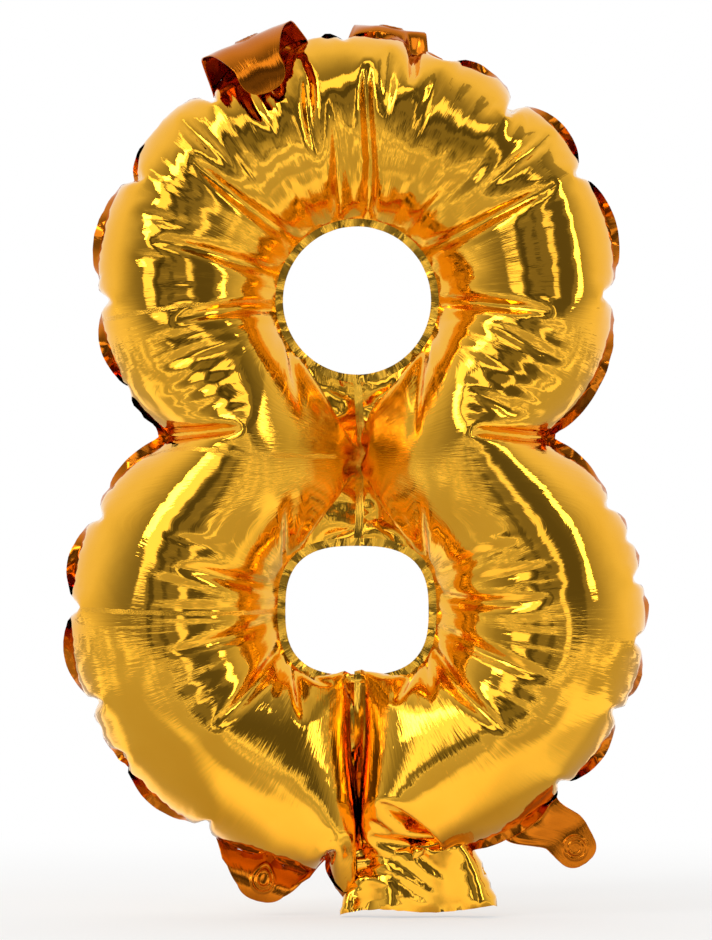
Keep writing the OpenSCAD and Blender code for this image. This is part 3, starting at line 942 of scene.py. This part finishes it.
def make_floor(half=0.9):
    """A pale floor. Reflections see a soft uneven glow in it, which keeps its edge from
    drawing a hard line on the foil, and it fades to the background's white further out"""
    me = bpy.data.meshes.new("floor")
    corners = [(-half, -half, 0), (half, -half, 0), (half, half, 0), (-half, half, 0)]
    me.from_pydata(corners, [], [(0, 1, 2, 3)])
    me.update()
    ob = bpy.data.objects.new("floor", me)
    scene.collection.objects.link(ob)
    m, nt, b = new_material("floor")
    link = nt.links.new
    set_inputs(b, Base_Color=(0.62, 0.62, 0.62, 1), Roughness=0.9, Emission_Color=(1, 0.98, 0.95, 1))
    tc = node(nt, "ShaderNodeTexCoord")
    glow = set_inputs(node(nt, "ShaderNodeTexNoise"), Scale=5.5, Detail=1)
    link(tc.outputs["Object"], glow.inputs["Vector"])
    link(smooth_range(nt, glow.outputs["Fac"], 0.48, 0.62, 0.0, 0.75), b.inputs["Emission Strength"])
    seen = set_inputs(node(nt, "ShaderNodeEmission"), Strength=1.0)
    lit = set_inputs(node(nt, "ShaderNodeBsdfDiffuse"), Color=(0.9, 0.9, 0.9, 1))
    plain = node(nt, "ShaderNodeMixShader")
    far = node(nt, "ShaderNodeVectorMath", operation="LENGTH")
    link(tc.outputs["Object"], far.inputs[0])
    link(smooth_range(nt, far.outputs["Value"], 0.14, 0.6, 0.45, 0.0), plain.inputs[0])
    link(seen.outputs[0], plain.inputs[1])
    link(lit.outputs[0], plain.inputs[2])
    path = node(nt, "ShaderNodeLightPath")
    mix = node(nt, "ShaderNodeMixShader")
    link(path.outputs["Is Camera Ray"], mix.inputs[0])
    link(b.outputs[0], mix.inputs[1])
    link(plain.outputs[0], mix.inputs[2])
    link(mix.outputs[0], nt.nodes["Material Output"].inputs[0])
    me.materials.append(m)
    ob.location.z = min(FILM[P.used, 2].min() / 1000, 0.0) - 0.0005


make_floor()

# boxes of directions, (x from, to, z from, to), and how bright
BRIGHT = [
    ((-0.66, -0.42, 0.04, 0.80), 1.5), ((0.30, 0.42, -0.35, 0.30), 1.15),
    ((-0.35, 0.30, 0.52, 0.72), 1.5), ((-0.75, 0.2, -0.62, -0.42), 1.2)]
DARK = [
    ((-0.36, -0.24, -0.5, 0.5), 0.4), ((0.46, 0.74, -0.5, 0.85), 0.5), ((-0.30, 0.42, 0.30, 0.44), 0.42),
    ((-0.05, 0.07, -0.6, 0.12), 0.5), ((-0.2, 0.5, -0.40, -0.28), 0.5)]


def studio():
    """The world: a white sweep behind the balloon, a dim room in front, soft boxes and
    dark gaps between them. The camera itself sees plain white"""
    w = bpy.data.worlds.new("studio")
    scene.world = w
    w.use_nodes = True
    nt = w.node_tree
    link = nt.links.new
    tc = node(nt, "ShaderNodeTexCoord")
    sep = node(nt, "ShaderNodeSeparateXYZ")
    link(tc.outputs["Generated"], sep.inputs[0])
    X_, Y_, Z_ = sep.outputs

    def math_node(operation, *values):
        m = node(nt, "ShaderNodeMath", operation=operation)
        for k, v in enumerate(values):
            if isinstance(v, (int, float)):
                m.inputs[k].default_value = v
            else:
                link(v, m.inputs[k])
        return m.outputs[0]

    def mul(a, b):
        return math_node("MULTIPLY", a, b)

    def ramp(sock, low, high, a, b):
        return smooth_range(nt, sock, low, high, a, b)

    def window(x0, x1, z0, z1, soft=0.02):
        """1 inside a box of directions in front of the balloon"""
        a = mul(ramp(X_, x0 - soft, x0 + soft, 0, 1), ramp(X_, x1 - soft, x1 + soft, 1, 0))
        b = mul(ramp(Z_, z0 - soft, z0 + soft, 0, 1), ramp(Z_, z1 - soft, z1 + soft, 1, 0))
        return mul(mul(a, b), ramp(Y_, -0.02, 0.02, 1, 0))

    total = ramp(Y_, -0.75, 0.25, 0.25, 1.0)
    below = mul(ramp(Z_, -0.55, 0.05, 0.75, 0.0), ramp(Y_, -0.6, 0.3, 1.0, 0.2))
    total = math_node("ADD", total, below)
    for box, gain in DARK:
        total = mul(total, math_node("MULTIPLY_ADD", window(*box), gain - 1, 1))
    for box, gain in BRIGHT:
        total = math_node("ADD", total, mul(window(*box), gain))
    room = set_inputs(nt.nodes["Background"], Color=(1, 0.99, 0.97, 1))
    link(total, room.inputs["Strength"])
    white = set_inputs(node(nt, "ShaderNodeBackground"), Color=(1, 1, 1, 1))
    path = node(nt, "ShaderNodeLightPath")
    mix = node(nt, "ShaderNodeMixShader")
    link(path.outputs["Is Camera Ray"], mix.inputs[0])
    link(room.outputs[0], mix.inputs[1])
    link(white.outputs[0], mix.inputs[2])
    link(mix.outputs[0], nt.nodes["World Output"].inputs[0])


studio()


def area_light(name, loc, size, power):
    lamp = bpy.data.lights.new(name, "AREA")
    lamp.shape = "RECTANGLE"
    lamp.size, lamp.size_y = size
    lamp.energy = power
    ob = bpy.data.objects.new(name, lamp)
    scene.collection.objects.link(ob)
    ob.location = loc
    ob.rotation_euler = (Vector((0, 0, 0.18)) - Vector(loc)).to_track_quat("-Z", "Y").to_euler()


area_light("key", (-1.5, -1.4, 1.4), (0.45, 1.1), 9)
area_light("fill", (1.7, -1.0, 0.9), (0.25, 1.2), 4)

AIM = Vector((-0.0004, 0, 0.177))
DISTANCE = 2.6
FRAME_HEIGHT = 0.376      # height of the picture at the balloon
SENSOR = 36
cam = bpy.data.cameras.new("camera")
cam.sensor_fit = "VERTICAL"
cam.sensor_height = SENSOR
cam.lens = SENSOR * DISTANCE / FRAME_HEIGHT
eye = bpy.data.objects.new("camera", cam)
scene.collection.objects.link(eye)
scene.camera = eye
eye.location = AIM + Vector((0, -DISTANCE, 0))
eye.rotation_euler = (AIM - eye.location).to_track_quat("-Z", "Y").to_euler()

bpy.context.view_layer.update()
